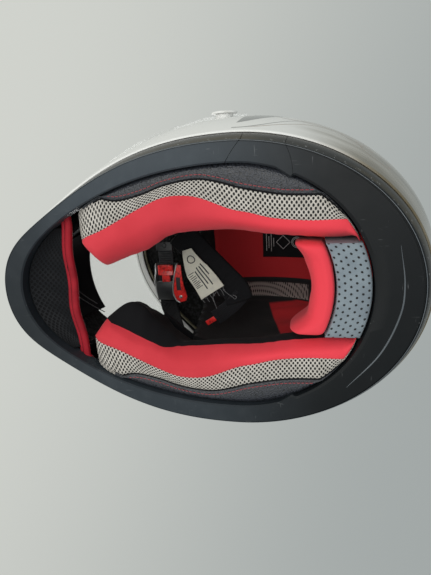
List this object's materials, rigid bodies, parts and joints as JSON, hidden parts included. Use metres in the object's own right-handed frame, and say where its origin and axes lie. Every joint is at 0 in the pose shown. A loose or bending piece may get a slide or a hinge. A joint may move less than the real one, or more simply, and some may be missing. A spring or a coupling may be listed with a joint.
{
  "type": "motorcycle helmet",
  "caption": "Full-face motorcycle helmet with hinged clear visor, sliding vents, padded lining, chin curtain and ratchet chin strap.",
  "frame": {"origin": "under the middle of the helmet, on the flat base of its trim ring", "axes": "+Z towards the crown, -Y towards the chin, +X towards the wearer's left"},
  "size_m": [0.2776, 0.3589, 0.2626],
  "materials": {
    "gloss_white_paint": "gloss paint over a composite shell",
    "liner_foam": "matte foam",
    "dark_red_fabric": "knitted lining",
    "satin_black_trim": "satin moulded edge trim",
    "black_plastic": "satin moulded plastic",
    "black_fabric": "open air mesh and brushed lining",
    "red_fabric": "brushed stretch fabric with spacer mesh and leather edge",
    "grey_mesh_fabric": "perforated spacer mesh",
    "black_webbing": "woven webbing",
    "brushed_steel": "brushed",
    "white_cloth": "woven tape",
    "red_plastic": "gloss moulded plastic",
    "black_rubber": "matte rubber",
    "clear_visor": "clear polycarbonate"
  },
  "bodies": {
    "shell": {"outer_shell": "gloss_white_paint", "impact_liner": "liner_foam", "crown_liner": "dark_red_fabric", "chin_liner": "liner_foam", "cheek_core_left": "liner_foam", "cheek_core_right": "liner_foam", "base_trim": "satin_black_trim", "trim_access_cover": "satin_black_trim", "breath_guard": "black_plastic", "chin_curtain": "black_fabric", "curtain_piping": "red_fabric", "cheek_pad_left": "red_fabric", "cheek_pad_right": "red_fabric", "neck_roll": "red_fabric", "neck_panel": "grey_mesh_fabric", "chin_strap_left": "black_webbing", "chin_strap_right": "black_webbing", "strap_anchor_left": "brushed_steel", "strap_anchor_right": "brushed_steel", "strap_sleeve": "black_fabric", "care_tag": "white_cloth", "strap_end_tab": "red_plastic", "buckle_body": "black_plastic", "lever_pin": "brushed_steel", "visor_pivot_left": "black_plastic", "visor_pivot_right": "black_plastic", "visor_screw_left": "black_plastic", "visor_screw_right": "black_plastic", "visor_seal": "black_rubber", "chin_vent": "black_plastic", "crown_vent": "black_plastic", "rear_exhaust": "black_plastic"},
    "visor_shield": {"visor": "clear_visor", "visor_tab": "black_plastic"},
    "buckle_release": {"buckle_lever": "red_plastic"},
    "ratchet_rack": {"ratchet_strap": "black_plastic"},
    "chin_shutter": {"chin_vent_slider": "black_plastic"},
    "crown_shutter": {"crown_vent_slider": "black_plastic"}
  },
  "joints": [
    {"name": "visor_hinge", "type": "hinge", "parent": "shell", "child": "visor_shield", "pos_m": [0, -0.005, 0.122], "axis": [-1, 0, 0], "range_deg": [0, 50]},
    {"name": "lever_hinge", "type": "hinge", "parent": "shell", "child": "buckle_release", "pos_m": [-0.0275, -0.08, 0.1352], "axis": [0, 1, 0], "range_deg": [0, 50], "stiffness_Nm_per_rad": 0.01, "springref_deg": -20.05},
    {"name": "ratchet_slide", "type": "slide", "parent": "shell", "child": "ratchet_rack", "axis": [1, 0, 0], "range_m": [0, 0.012]},
    {"name": "chin_vent_slide", "type": "slide", "parent": "shell", "child": "chin_shutter", "axis": [0, 0, 1], "range_m": [0, 0.005]},
    {"name": "crown_vent_slide", "type": "slide", "parent": "shell", "child": "crown_shutter", "axis": [0, 1, 0], "range_m": [0, 0.01]}
  ]
}
